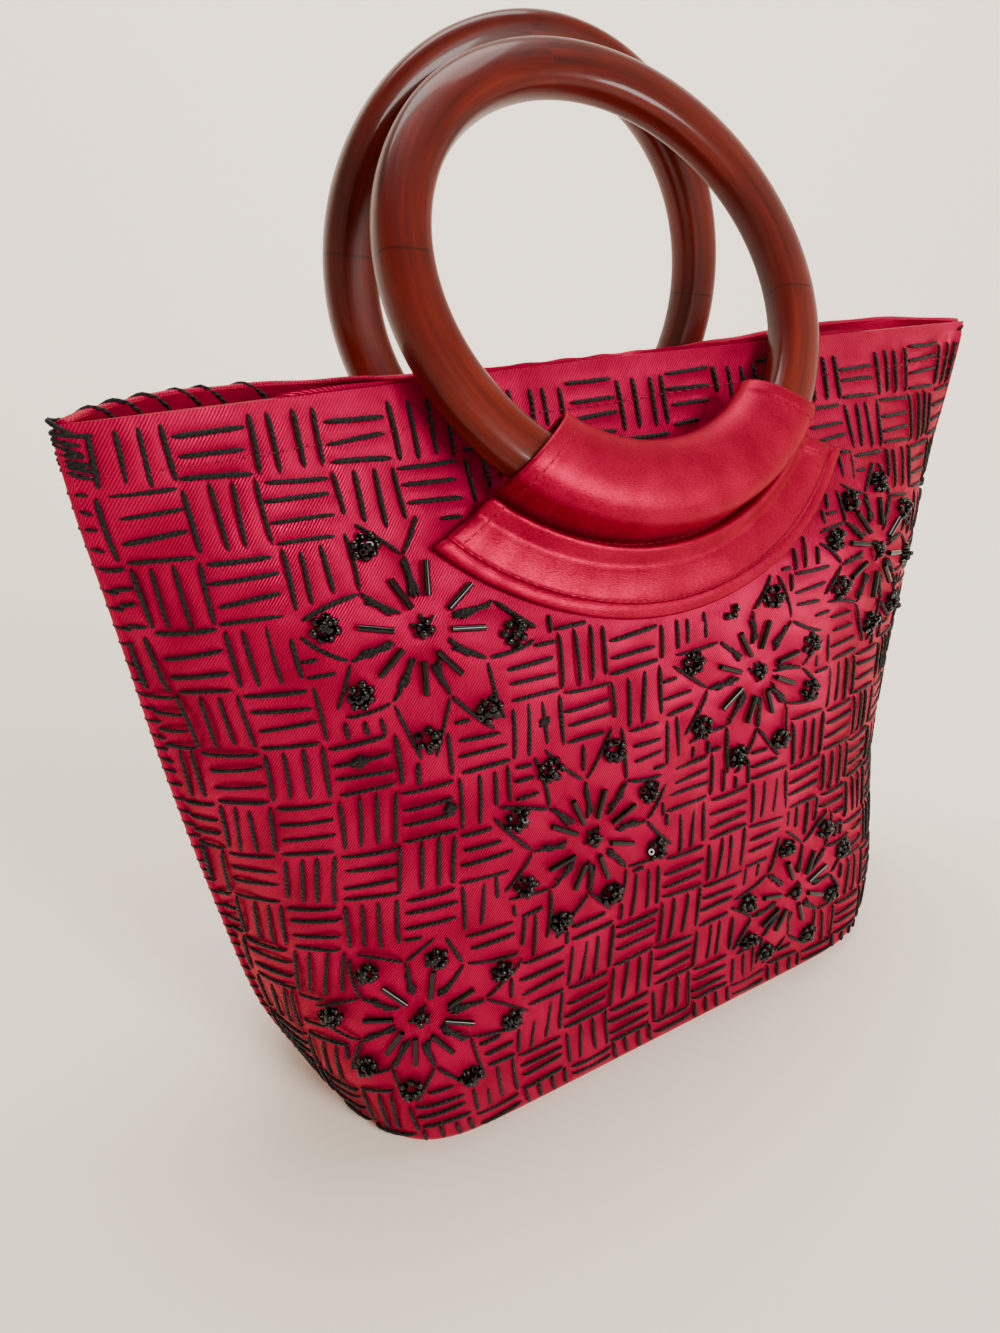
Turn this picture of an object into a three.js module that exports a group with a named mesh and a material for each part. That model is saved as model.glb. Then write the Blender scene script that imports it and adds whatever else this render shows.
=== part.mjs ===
// A satin handbag with embroidered sides and two round wooden handles.
// Two soft panels meet at the side seams and stand round a flat base. Each panel carries
// a crescent casing of cloth, and a wooden ring turns freely inside that casing.
// Millimetres: +X runs along the bag, +Y to its back, +Z up, with the origin under its middle.
import * as THREE from "three";

const bag = {
  rimWidth: 297, // between the side seams at the mouth
  height: 221.5, // at the two corners of the mouth
  baseDepth: 110, // front to back on the floor
  wall: 2.4, // embroidered satin with its interfacing
  seamHalf: 1, // half the thickness of the sewn edges
  seamLean: 2.4, // how far the mouth's corners lie behind the base's middle
  frontCrown: 1.2, // the rim's middle above its corners
  backCrown: -5,
  baseThickness: 2.4,
};
const lining = { gap: 0.4, thickness: 0.8 };
const facing = { gap: 0.4, thickness: 0.9, height: 26 };
const sideSeam = { stand: 2, halfWidth: 1.3, gap: 0.3, foot: 0.02, head: 0.985 };
const ring = { outerRadius: 70, width: 15.2, thickness: 11 };
const casing = {
  slip: 0.6, // room for the ring to turn
  cloth: 1.4,
  foldReach: 8, // loose cloth inside the ring
  flapReach: 23.5, // from the ring's outer edge to the casing's lower edge
  seatGap: 0.5,
  valleyLift: 2,
  ridgeLift: 4,
  ridgeFromRing: 5,
  flapLift: 2.6,
  foldHalfAngle: 42,
  edgeHalfAngle: 51,
  turn: 1.5,
};
// Rise is from the mouth's corners up to the ring's middle.
const handles = [
  { name: "front", side: -1, x: 0.3, y: 5.6, rise: 20.9, lean: 35.2, yaw: 1 },
  { name: "back", side: 1, x: 1, y: 48.7, rise: 17.2, lean: 5.9, yaw: 0 },
];
const seamGap = 0.3;
const degree = Math.PI / 180;

// Sections of the bag, from the floor to the mouth. Height is a share of the bag's height,
// width of its rim's half width, front and back of its base's half depth. A high power
// makes that side boxy and a low one makes it a lens.
const sections = [
  { height: 0, width: 0.793, front: 0.99, back: 0.99, frontPower: 11, backPower: 11 },
  { height: 0.012, width: 0.802, front: 1, back: 1, frontPower: 11, backPower: 11 },
  { height: 0.12, width: 0.855, front: 0.99, back: 0.98, frontPower: 8, backPower: 8 },
  { height: 0.2, width: 0.88, front: 0.965, back: 0.95, frontPower: 6, backPower: 6 },
  { height: 0.32, width: 0.905, front: 0.922, back: 0.91, frontPower: 4.2, backPower: 4.6 },
  { height: 0.46, width: 0.931, front: 0.864, back: 0.84, frontPower: 3.6, backPower: 4.2 },
  { height: 0.6, width: 0.953, front: 0.778, back: 0.749, frontPower: 3.5, backPower: 4.2 },
  { height: 0.73, width: 0.969, front: 0.642, back: 0.6, frontPower: 3.8, backPower: 4.5 },
  { height: 0.815, width: 0.98, front: 0.424, back: 0.564, frontPower: 4.2, backPower: 5 },
  { height: 0.9, width: 0.992, front: 0.202, back: 0.535, frontPower: 5, backPower: 6 },
  { height: 1, width: 1, front: 0.02, back: 0.47, frontPower: 6, backPower: 8 },
];
const bodyLevels = 11;
const hemLevels = 2;
const panelColumns = 28;
const ringSegments = 48;
const ringSides = 12;
const casingStations = 14;

const colours = {
  satin: { color: 0xc4123f, roughness: 0.5, metalness: 0 },
  plainSatin: { color: 0xd0163f, roughness: 0.42, metalness: 0 },
  liningCloth: { color: 0x4a0a18, roughness: 0.8, metalness: 0 },
  thread: { color: 0x17131a, roughness: 0.75, metalness: 0 },
  wood: { color: 0x6e2414, roughness: 0.35, metalness: 0 },
};

// A smooth curve through one column of the table.
function column(name, height) {
  const last = sections.length - 1;
  let k = 0;
  while (k < last - 1 && sections[k + 1].height < height) k += 1;
  const slope = (i) => {
    const before = sections[Math.max(i - 1, 0)];
    const after = sections[Math.min(i + 1, last)];
    return (after[name] - before[name]) / (after.height - before.height);
  };
  const from = sections[k];
  const to = sections[k + 1];
  const span = to.height - from.height;
  const u = (height - from.height) / span;
  const start = (2 * u - 3) * u * u + 1;
  const startSlope = ((u - 2) * u + 1) * u * span;
  const endSlope = (u - 1) * u * u * span;
  return start * from[name] + (1 - start) * to[name] + startSlope * slope(k) + endSlope * slope(k + 1);
}

// One side's outline at a height, moved inwards by inset and ended at the seam plane.
// Share runs from -1 at the left seam to 1 at the right one.
function outline(side, height, inset) {
  const halfWidth = column("width", height) * bag.rimWidth / 2;
  const depth = column(side < 0 ? "front" : "back", height) * bag.baseDepth / 2;
  const power = column(side < 0 ? "frontPower" : "backPower", height);
  const crown = side < 0 ? bag.frontCrown : bag.backCrown;
  const seam = bag.seamLean * height;
  const reach = (share) => {
    const flat = Math.abs(share);
    const away = bag.seamHalf + depth * (1 - flat ** power);
    const slope = depth * power * flat ** (power - 1) * Math.sign(share) / halfWidth;
    const length = Math.hypot(1, slope);
    return {
      x: halfWidth * share - inset * slope / length,
      away: away - inset / length,
      z: height * (bag.height + crown * (1 - flat ** 2) ** 2),
    };
  };
  const spread = (share) => Math.sin(share * Math.PI / 2);
  let end = 1;
  let low = 0;
  if (inset > 0) {
    for (let step = 0; step < 40; step += 1) {
      const middle = (low + end) / 2;
      if (reach(spread(middle)).away > seamGap / 2) low = middle;
      else end = middle;
    }
  }
  const points = [];
  for (let i = 0; i <= panelColumns; i += 1) {
    const place = reach(spread((2 * i / panelColumns - 1) * (inset > 0 ? low : 1)));
    points.push(new THREE.Vector3(place.x, seam + side * place.away, place.z));
  }
  return points;
}

// A closed body from shared points and polygons, turned so that its faces point out.
function body(points, polygons) {
  const index = [];
  for (const corners of polygons) {
    for (let i = 2; i < corners.length; i += 1) index.push(corners[0], corners[i - 1], corners[i]);
  }
  let volume = 0;
  for (let i = 0; i < index.length; i += 3) {
    const [a, b, c] = [points[index[i]], points[index[i + 1]], points[index[i + 2]]];
    volume += a.dot(b.clone().cross(c));
  }
  if (volume < 0) index.reverse();
  const geometry = new THREE.BufferGeometry().setFromPoints(points);
  geometry.setIndex(index);
  geometry.computeVertexNormals();
  return geometry;
}

// A sheet of cloth between two grids of points, closed round its border.
function sheet(outerRows, innerRows) {
  const rows = outerRows.length;
  const columns = outerRows[0].length;
  const at = (face, row, place) => (face * rows + row) * columns + place;
  const polygons = [];
  for (let row = 0; row < rows - 1; row += 1) {
    for (let place = 0; place < columns - 1; place += 1) {
      const [a, b, c, d] = [[row, place], [row, place + 1], [row + 1, place + 1], [row + 1, place]];
      polygons.push([a, b, c, d].map((corner) => at(0, ...corner)));
      polygons.push([a, d, c, b].map((corner) => at(1, ...corner)));
    }
  }
  const border = [];
  for (let place = 0; place < columns - 1; place += 1) border.push([0, place]);
  for (let row = 0; row < rows - 1; row += 1) border.push([row, columns - 1]);
  for (let place = columns - 1; place > 0; place -= 1) border.push([rows - 1, place]);
  for (let row = rows - 1; row > 0; row -= 1) border.push([row, 0]);
  border.forEach(([row, place], i) => {
    const [nextRow, nextPlace] = border[(i + 1) % border.length];
    const edge = [at(0, nextRow, nextPlace), at(0, row, place)];
    polygons.push([...edge, at(1, row, place), at(1, nextRow, nextPlace)]);
  });
  return body([...outerRows.flat(), ...innerRows.flat()], polygons);
}

// Levels that every sheet shares, so that each follows the panel outside it. The first
// two are close together, where the panel's edge is rounded on the floor.
function sharedLevels() {
  const foot = sections[1].height;
  const hem = 1 - facing.height / bag.height;
  const evenly = (from, to, steps) =>
    Array.from({ length: steps }, (_, i) => from + (to - from) * (i + 1) / steps);
  return [0, foot, ...evenly(foot, hem, bodyLevels), ...evenly(hem, 1, hemLevels)];
}

function layer(side, heights, inset, thickness) {
  return sheet(
    heights.map((height) => outline(side, height, inset)),
    heights.map((height) => outline(side, height, inset + thickness)),
  );
}

function basePanel() {
  const inset = bag.wall + seamGap;
  const rim = (z) => [-1, 1].map((side) => outline(side, 0, inset).map((point) => point.setZ(z)));
  return sheet(rim(0), rim(bag.baseThickness));
}

// The stitched ridge that stands out along one side seam.
function seamRidge(end) {
  const row = (height, stand) => {
    const x = column("width", height) * bag.rimWidth / 2 + sideSeam.gap + stand;
    const y = bag.seamLean * height;
    return [-1, 1].map((turn) =>
      new THREE.Vector3(end * x, y + turn * sideSeam.halfWidth, height * bag.height));
  };
  const inside = levels.filter((height) => height >= sideSeam.foot && height < sideSeam.head);
  const stops = [...inside, sideSeam.head];
  return sheet(stops.map((h) => row(h, sideSeam.stand)), stops.map((h) => row(h, 0)));
}

// A point on the ring's rounded section, with its own reach towards the ring's middle.
function sectionPoint(angle, outward, inward, half, power) {
  const c = Math.cos(angle);
  const s = Math.sin(angle);
  const along = Math.sign(c) * Math.abs(c) ** (2 / power);
  const across = Math.sign(s) * Math.abs(s) ** (2 / power);
  return { r: ringMiddle + along * (c > 0 ? outward : inward), a: across * half };
}

const ringMiddle = ring.outerRadius - ring.width / 2;
const ringPower = 2.8;

function ringBody() {
  const profile = [];
  for (let i = 0; i <= ringSides; i += 1) {
    const angle = (i % ringSides) * 2 * Math.PI / ringSides;
    const point = sectionPoint(angle, ring.width / 2, ring.width / 2, ring.thickness / 2, ringPower);
    profile.push(new THREE.Vector2(point.r, point.a));
  }
  return new THREE.LatheGeometry(profile, ringSegments);
}

// Where the ring's axis direction meets the panel, measured outwards from the ring's plane.
function seatHeight(handle, group, panel, r, angle) {
  const start = 60;
  const local = new THREE.Vector3(r * Math.sin(angle), handle.side * start, -r * Math.cos(angle));
  const outwards = new THREE.Vector3(0, handle.side, 0).transformDirection(group.matrixWorld);
  const ray = new THREE.Raycaster(local.applyMatrix4(group.matrixWorld), outwards.negate());
  const hits = ray.intersectObject(panel);
  const deepest = -(ring.thickness / 2 + casing.slip + casing.cloth + casing.seatGap);
  return hits.length ? start - hits[0].distance : deepest;
}

// The crescent casing: a sleeve round the ring, a stitched valley and ridge below it,
// and a flap that lies on the panel. Each station is one section across it.
function casingBody(handle, group, panel) {
  const foldRadius = ring.outerRadius - ring.width - casing.foldReach;
  const edgeRadius = ring.outerRadius + casing.flapReach;
  const half = ring.thickness / 2 + casing.slip;
  const outward = ring.width / 2 + casing.slip;
  const inward = ringMiddle - foldRadius - casing.cloth;
  const sleeve = (degrees, cloth) =>
    sectionPoint(degrees * degree, outward + cloth, inward + cloth, half + cloth, 2.3);
  const ridge = ring.outerRadius + casing.ridgeFromRing;
  const valley = ring.outerRadius + casing.slip + casing.cloth + 0.8;
  const flap = (share) => ridge + 2.2 + (edgeRadius - ridge - 2.2) * share;
  const outer = [
    ...[180, 158, 135, 112, 90, 65, 40, 18].map((angle) => sleeve(angle, casing.cloth)),
    { r: valley, lift: casing.valleyLift },
    { r: ridge, lift: casing.ridgeLift },
    { r: flap(0), lift: casing.flapLift },
    { r: flap(0.45), lift: casing.flapLift },
    { r: flap(0.9), lift: casing.flapLift },
    { r: flap(1), lift: casing.flapLift / 2 },
    ...[0.97, 0.82, 0.66, 0.5, 0.34, 0.17, 0].map((share) => ({ r: flap(share), lift: 0 })),
    { r: valley - 2, lift: 0 },
    { r: ringMiddle + 2, lift: 0 },
    ...[255, 225, 202].map((angle) => sleeve(angle, casing.cloth)),
  ];
  const hole = [180, 212, 245, 270, 300, 330, 0, 30, 60, 90, 115, 148].map((angle) => sleeve(angle, 0));
  const profile = [...outer, ...hole];
  const points = [];
  for (let station = 0; station <= casingStations; station += 1) {
    const share = 2 * station / casingStations - 1;
    for (const { r, a, lift } of profile) {
      const along = (r - foldRadius) / (edgeRadius - foldRadius);
      const halfAngle = casing.foldHalfAngle + (casing.edgeHalfAngle - casing.foldHalfAngle) * along;
      const angle = (casing.turn + halfAngle * share) * degree;
      const seat = seatHeight(handle, group, panel, r, angle) + casing.seatGap;
      const across = lift === undefined ? Math.max(a, seat) : seat + lift;
      points.push(new THREE.Vector3(r * Math.sin(angle), handle.side * across, -r * Math.cos(angle)));
    }
  }
  const count = profile.length;
  const polygons = [];
  const wrap = (first, size) => {
    for (let station = 0; station < casingStations; station += 1) {
      for (let i = 0; i < size; i += 1) {
        const [a, b] = [station * count + first + i, station * count + first + (i + 1) % size];
        polygons.push([a, b, b + count, a + count]);
      }
    }
  };
  wrap(0, outer.length);
  wrap(outer.length, hole.length);
  const flat = profile.map(({ r, a, lift }) => new THREE.Vector2(r, lift === undefined ? a : lift - half - 2));
  const caps = THREE.ShapeUtils.triangulateShape(flat.slice(0, outer.length), [flat.slice(outer.length)]);
  const end = casingStations * count;
  for (const [a, b, c] of caps) {
    polygons.push([a, b, c], [c + end, b + end, a + end]);
  }
  return body(points, polygons);
}

function addPiece(parent, name, geometry, colour) {
  const mesh = new THREE.Mesh(geometry, new THREE.MeshStandardMaterial(colours[colour]));
  mesh.name = name;
  parent.add(mesh);
  return mesh;
}

const group = new THREE.Group();
const levels = sharedLevels();
const hemLevel = levels.length - 1 - hemLevels;
const liningLevels = [...levels.slice(1, hemLevel), levels[hemLevel] - seamGap / bag.height];
const facingLevels = levels.slice(hemLevel);
addPiece(group, "base_panel", basePanel(), "satin");
for (const handle of handles) {
  const { name, side } = handle;
  const panel = addPiece(group, `${name}_panel`, layer(side, levels, 0, bag.wall), "satin");
  const liningInset = bag.wall + lining.gap;
  addPiece(group, `${name}_lining`, layer(side, liningLevels, liningInset, lining.thickness), "liningCloth");
  const facingInset = bag.wall + facing.gap;
  const facingSheet = layer(side, facingLevels, facingInset, facing.thickness);
  addPiece(group, `${name}_facing`, facingSheet, "plainSatin");
  const mount = new THREE.Group();
  mount.position.set(handle.x, handle.y, bag.height + handle.rise);
  mount.rotation.set(-handle.lean * degree, 0, handle.yaw * degree, "ZYX");
  group.add(mount);
  mount.updateMatrixWorld(true);
  addPiece(mount, `${name}_ring`, ringBody(), "wood");
  addPiece(mount, `${name}_casing`, casingBody(handle, mount, panel), "plainSatin");
}
addPiece(group, "left_seam", seamRidge(-1), "thread");
addPiece(group, "right_seam", seamRidge(1), "thread");

export default group;
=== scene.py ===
# Satin handbag with basket weave stitching, beaded flowers and round wooden handles
import math
import random

import bmesh
import bpy
import numpy as np
from mathutils import Matrix, Vector
from mathutils.bvhtree import BVHTree


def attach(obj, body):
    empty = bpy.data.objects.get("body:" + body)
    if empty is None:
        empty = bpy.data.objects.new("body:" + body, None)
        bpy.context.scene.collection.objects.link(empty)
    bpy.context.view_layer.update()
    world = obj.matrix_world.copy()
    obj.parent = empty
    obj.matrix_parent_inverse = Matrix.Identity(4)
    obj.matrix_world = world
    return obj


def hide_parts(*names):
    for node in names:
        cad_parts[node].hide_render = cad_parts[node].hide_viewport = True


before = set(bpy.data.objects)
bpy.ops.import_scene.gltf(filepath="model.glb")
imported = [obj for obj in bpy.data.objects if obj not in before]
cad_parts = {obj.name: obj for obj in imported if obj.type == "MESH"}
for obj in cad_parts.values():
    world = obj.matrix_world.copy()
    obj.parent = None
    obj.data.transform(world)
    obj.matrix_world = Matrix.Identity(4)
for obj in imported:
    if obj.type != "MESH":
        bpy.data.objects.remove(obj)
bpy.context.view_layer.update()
random.seed(7)
print("frame loaded")

mm = 0.001
sides = front, back = -1, 1

# Shape of the bag, in millimetres
bag = {
    "rimWidth": 297,
    "height": 221.5,
    "baseDepth": 110,
    "wall": 2.4,
    "seamHalf": 1,
    "seamLean": 2.4,
    "crown": {front: 1.2, back: -5},
    "baseThickness": 2.4,
    "facingHeight": 26,
    "seamGap": 0.3,
}

# Sections from the floor to the mouth: height as a share of the bag's height, width as one of the
# rim's half width, front and back of the base's half depth, and how boxy each side is
sectionNames = ("height", "width", "front", "back", "frontPower", "backPower")
sectionRows = [
    (0, 0.793, 0.99, 0.99, 11, 11),
    (0.012, 0.802, 1, 1, 11, 11),
    (0.12, 0.855, 0.99, 0.98, 8, 8),
    (0.2, 0.88, 0.965, 0.95, 6, 6),
    (0.32, 0.905, 0.922, 0.91, 4.2, 4.6),
    (0.46, 0.931, 0.864, 0.84, 3.6, 4.2),
    (0.6, 0.953, 0.778, 0.749, 3.5, 4.2),
    (0.73, 0.969, 0.642, 0.6, 3.8, 4.5),
    (0.815, 0.98, 0.424, 0.564, 4.2, 5),
    (0.9, 0.992, 0.202, 0.535, 5, 6),
    (1, 1, 0.02, 0.47, 6, 8),
]
sections = dict(zip(sectionNames, np.array(sectionRows, float).T))

# Handles: where each ring's middle sits, in millimetres, and how it leans and turns, in degrees
handles = {
    front: {"name": "front", "middle": (0.3, 5.6, 242.4), "lean": 35.2, "yaw": 1},
    back: {"name": "back", "middle": (1, 48.7, 238.7), "lean": 5.9, "yaw": 0},
}
ring = {
    "outerRadius": 70,
    "width": 15.2,
    "thickness": 11,
    "power": 3,
    "steps": 128,
    "sides": 24,
    "girthRadius": 7,
    "joint": 1.71,
}
ringMiddle = ring["outerRadius"] - ring["width"] / 2
casing = {
    "slip": 0.6,
    "cloth": 1.4,
    "foldReach": 8,
    "flapReach": 23.5,
    "seatGap": 0.5,
    "foldHalfAngle": 42,
    "edgeHalfAngle": 51,
    "turn": 1.5,
    "sleevePower": 2.3,
    "ridgeFromRing": 5,
    "hemWidth": 4.5,
    "hemHeight": 0.45,
    "wall": 1.2,
    "stations": 110,
    "samples": 100,
}
ridgeRadius = ring["outerRadius"] + casing["ridgeFromRing"]
foldRadius = ring["outerRadius"] - ring["width"] - casing["foldReach"]
edgeRadius = ring["outerRadius"] + casing["flapReach"]
panelGrid = {"rows": 240, "places": 320}


def column(name, height):
    # a smooth curve through one column of the sections
    x, y = sections["height"], sections[name]
    last = len(x) - 1
    slopes = np.array([
        (y[min(i + 1, last)] - y[max(i - 1, 0)]) / (x[min(i + 1, last)] - x[max(i - 1, 0)])
        for i in range(last + 1)
    ])
    k = np.clip(np.searchsorted(x, height) - 1, 0, last - 1)
    span = x[k + 1] - x[k]
    u = (height - x[k]) / span
    start = (2 * u - 3) * u * u + 1
    bend = ((u - 2) * u + 1) * u * slopes[k] + (u - 1) * u * u * slopes[k + 1]
    return start * y[k] + (1 - start) * y[k + 1] + bend * span


def unit(vectors):
    vectors = np.asarray(vectors, float)
    return vectors / np.maximum(np.linalg.norm(vectors, axis=-1, keepdims=True), 1e-9)


def distances(points):
    # how far along its line each point lies; lines run down the first axis
    steps = np.linalg.norm(np.diff(points, axis=0), axis=-1)
    return np.concatenate([np.zeros_like(steps[:1]), np.cumsum(steps, 0)])


def resample(spots, along, line):
    # points of a line at new distances along it
    return np.stack([np.interp(spots, along, values) for values in line.T], -1)


def spread(share):
    return np.sin(np.asarray(share) * math.pi / 2)


def panelPoints(side, turn, height, inset=0.0):
    # points of a panel in metres: turn runs from -1 at the left seam to 1 at the right one
    turn, height = np.broadcast_arrays(np.asarray(turn, float), np.asarray(height, float))
    which = "front" if side == front else "back"
    halfWidth = column("width", height) * bag["rimWidth"] / 2
    depth = column(which, height) * bag["baseDepth"] / 2
    power = column(which + "Power", height)

    def reach(share):
        flat = np.abs(share)
        slope = depth * power * flat ** (power - 1) * np.sign(share) / halfWidth
        length = np.hypot(1, slope)
        away = bag["seamHalf"] + depth * (1 - flat ** power) - inset / length
        rise = height * (bag["height"] + bag["crown"][side] * (1 - flat ** 2) ** 2)
        return halfWidth * share - inset * slope / length, away, rise

    end = np.ones_like(height)
    if inset > 0:  # an inner layer ends where it meets the seam plane
        low, high = np.zeros_like(height), np.ones_like(height)
        for _ in range(30):
            middle = (low + high) / 2
            clear = reach(spread(middle))[1] > bag["seamGap"] / 2
            low = np.where(clear, middle, low)
            high = np.where(clear, high, middle)
        end = low
    x, away, z = reach(spread(turn * end))
    return np.stack([x, bag["seamLean"] * height + side * away, z], -1) * mm


def readTable(table, row, place):
    # reads a table between its rows and places
    row = np.clip(row, 0, table.shape[0] - 1.0001)
    place = np.clip(place, 0, table.shape[1] - 1.0001)
    i, j = row.astype(int), place.astype(int)
    a, b = row - i, place - j
    if table.ndim == 3:
        a, b = a[..., None], b[..., None]
    top = table[i, j] * (1 - b) + table[i, j + 1] * b
    return top * (1 - a) + (table[i + 1, j] * (1 - b) + table[i + 1, j + 1] * b) * a


def flattenPanel(side):
    # the panel's cloth laid out flat: across is measured from the left seam, down from the rim
    heights = np.linspace(1, 0, panelGrid["rows"] + 1)
    turns = np.linspace(-1, 1, panelGrid["places"] + 1)
    grid = panelPoints(side, turns[None, :], heights[:, None])
    across = distances(grid.swapaxes(0, 1)).T
    places = np.arange(0, across.max() + mm, mm)
    even = np.stack([resample(places, along, line) for along, line in zip(across, grid)])
    down = distances(even)
    levels = np.arange(0, down.max() + mm, mm)
    laid = np.stack([resample(levels, down[:, j], even[:, j]) for j in range(len(places))], 1)
    outward = unit(np.cross(np.gradient(laid, axis=1), np.gradient(laid, axis=0)) * side)
    ends = np.interp(levels, down[:, len(places) // 2], across[:, -1])
    return {"across": across, "down": down, "laid": laid, "outward": outward, "ends": ends}


flatCloth = {side: flattenPanel(side) for side in sides}


def onCloth(side, across, down, lift=0.0):
    # a point of the flat cloth, in millimetres, as its place in the bag's frame, in metres, and its normal
    across, down = np.asarray(across, float), np.asarray(down, float)
    place = readTable(flatCloth[side]["laid"], down, across)
    normal = unit(readTable(flatCloth[side]["outward"], down, across))
    return place + normal * np.asarray(lift)[..., None] * mm, normal


def flatOf(side, turn, height):
    # where a panel point lies on the flat cloth, in metres
    cloth = flatCloth[side]
    row = (1 - height) * panelGrid["rows"]
    across = readTable(cloth["across"], row, (turn + 1) * panelGrid["places"] / 2)
    return across, readTable(cloth["down"], row, across / mm)


def handleMatrix(side):
    handle = handles[side]
    turn = Matrix.Rotation(math.radians(handle["yaw"]), 4, "Z")
    lean = Matrix.Rotation(math.radians(-handle["lean"]), 4, "X")
    return Matrix.Translation(Vector(handle["middle"]) * mm) @ turn @ lean


def fromRing(side, points):
    # millimetres from the ring's axis, and degrees from its lowest point
    inverse = np.array(handleMatrix(side).inverted())
    local = points @ inverse[:3, :3].T + inverse[:3, 3]
    x, z = local[..., 0], local[..., 2]
    return np.hypot(x, z) / mm, np.degrees(np.arctan2(x, -z))


def casingHalfAngle(radius):
    along = (radius - foldRadius) / (edgeRadius - foldRadius)
    return casing["foldHalfAngle"] + (casing["edgeHalfAngle"] - casing["foldHalfAngle"]) * along


def underCasing(side, points, margin=1.0):
    radius, angle = fromRing(side, points)
    inside = np.abs(angle - casing["turn"]) < casingHalfAngle(radius) + margin
    return inside & (radius > foldRadius - margin) & (radius < edgeRadius + margin)


def linear(code):
    # an sRGB hex colour as linear RGBA
    parts = [int(code[i:i + 2], 16) / 255 for i in (1, 3, 5)]
    return [c / 12.92 if c <= 0.04045 else ((c + 0.055) / 1.055) ** 2.4 for c in parts] + [1.0]


def addNode(tree, kind, settings=None, values=None, links=None):
    node = tree.nodes.new("ShaderNode" + kind)
    for key, value in (settings or {}).items():
        setattr(node, key, value)
    for key, value in (values or {}).items():
        node.inputs[key].default_value = value
    for key, source in (links or {}).items():
        tree.links.new(source, node.inputs[key])
    return node


def newMaterial(name, values):
    material = bpy.data.materials.new(name)
    material.use_nodes = True
    tree = material.node_tree
    shader = tree.nodes["Principled BSDF"]
    for key, value in values.items():
        shader.inputs[key].default_value = value
    return material, tree, shader


def setStops(ramp, stops):
    elements = ramp.color_ramp.elements
    while len(elements) < len(stops):
        elements.new(0.5)
    for element, (position, code) in zip(elements, stops):
        element.position = position
        element.color = linear(code)
    return ramp.outputs[0]


def finishShader(tree, shader, colour, height, strength, depth=0.2):
    # colours the shader and gives it a relief, whose depth is in millimetres
    bump = addNode(tree, "Bump", values={"Strength": strength, "Distance": depth * mm},
                   links={"Height": height})
    tree.links.new(colour, shader.inputs["Base Color"])
    tree.links.new(bump.outputs[0], shader.inputs["Normal"])


def satin(name, values, mottle, stops, threads, shading, relief):
    # light passes through the dyed fibre before it comes back, so satin's shine has its own colour
    material, tree, shader = newMaterial(name, {
        "Sheen Weight": 0.03, "Sheen Tint": linear("#ff3a70"),
        "Specular IOR Level": 0.3, "Specular Tint": linear("#ff4a76"), **values,
    })
    flat = addNode(tree, "UVMap", {"uv_map": "flat"}).outputs[0]
    patches = addNode(tree, "TexNoise", values=mottle, links={"Vector": flat})
    ramp = addNode(tree, "ValToRGB", links={"Fac": patches.outputs["Fac"]})
    dark, height = threads(tree, flat)
    # the pattern's colour is multiplied in as painted light and shade: shade in the grooves of the twill,
    # sheen along the floats of the plain satin
    shade = addNode(tree, "Mix", {"data_type": "RGBA", "blend_type": "MULTIPLY"},
                    {"Factor": shading}, {"A": setStops(ramp, stops), "B": dark})
    finishShader(tree, shader, shade.outputs["Result"], height, relief)
    return material


def twillRibsAndShade(tree, flat):
    # real ribs are 0.45 mm apart, drawn at 0.7 mm so that they show; their colour, multiplied into the satin,
    # is painted shade in the grooves between the ribs
    slant = addNode(tree, "Mapping", values={"Rotation": (0, 0, math.radians(-38))}, links={"Vector": flat})
    ribs = addNode(tree, "TexWave", values={
        "Scale": 2 * math.pi / (20 * 0.7 * mm), "Distortion": 1.2, "Detail": 2, "Detail Scale": 3,
    }, links={"Vector": slant.outputs[0]})
    return ribs.outputs["Color"], ribs.outputs["Fac"]


def floatsAndSheen(tree, flat):
    # threads that lie free for a few millimetres, drawn as streaks about 1 mm long, with painted sheen along
    # the streaks and painted shade between them
    slant = addNode(tree, "Mapping", values={"Scale": (1, 4, 1), "Rotation": (0, 0, math.radians(25))},
                    links={"Vector": flat})
    floats = addNode(tree, "TexNoise", values={"Scale": 900, "Detail": 2}, links={"Vector": slant.outputs[0]})
    ramp = addNode(tree, "ValToRGB", links={"Fac": floats.outputs["Fac"]})
    return setStops(ramp, [(0.35, "#a8a8a8"), (0.6, "#ffffff")]), floats.outputs["Fac"]


def liningCloth():
    # matte woven lining, plain weave drawn at 0.8 mm
    material, tree, shader = newMaterial("darkLiningCloth", {
        "Roughness": 0.85, "Sheen Weight": 0.1, "Specular IOR Level": 0.25,
    })
    flat = addNode(tree, "UVMap", {"uv_map": "flat"}).outputs[0]
    checks = addNode(tree, "TexChecker", values={
        "Scale": 1 / (0.8 * mm), "Color1": linear("#38060f"), "Color2": linear("#2a040b"),
    }, links={"Vector": flat})
    finishShader(tree, shader, checks.outputs["Color"], checks.outputs["Fac"], 0.3)
    return material


thread = {"stations": 13, "sides": 6, "turnLength": 3.4, "plyDepth": 0.12}


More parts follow.
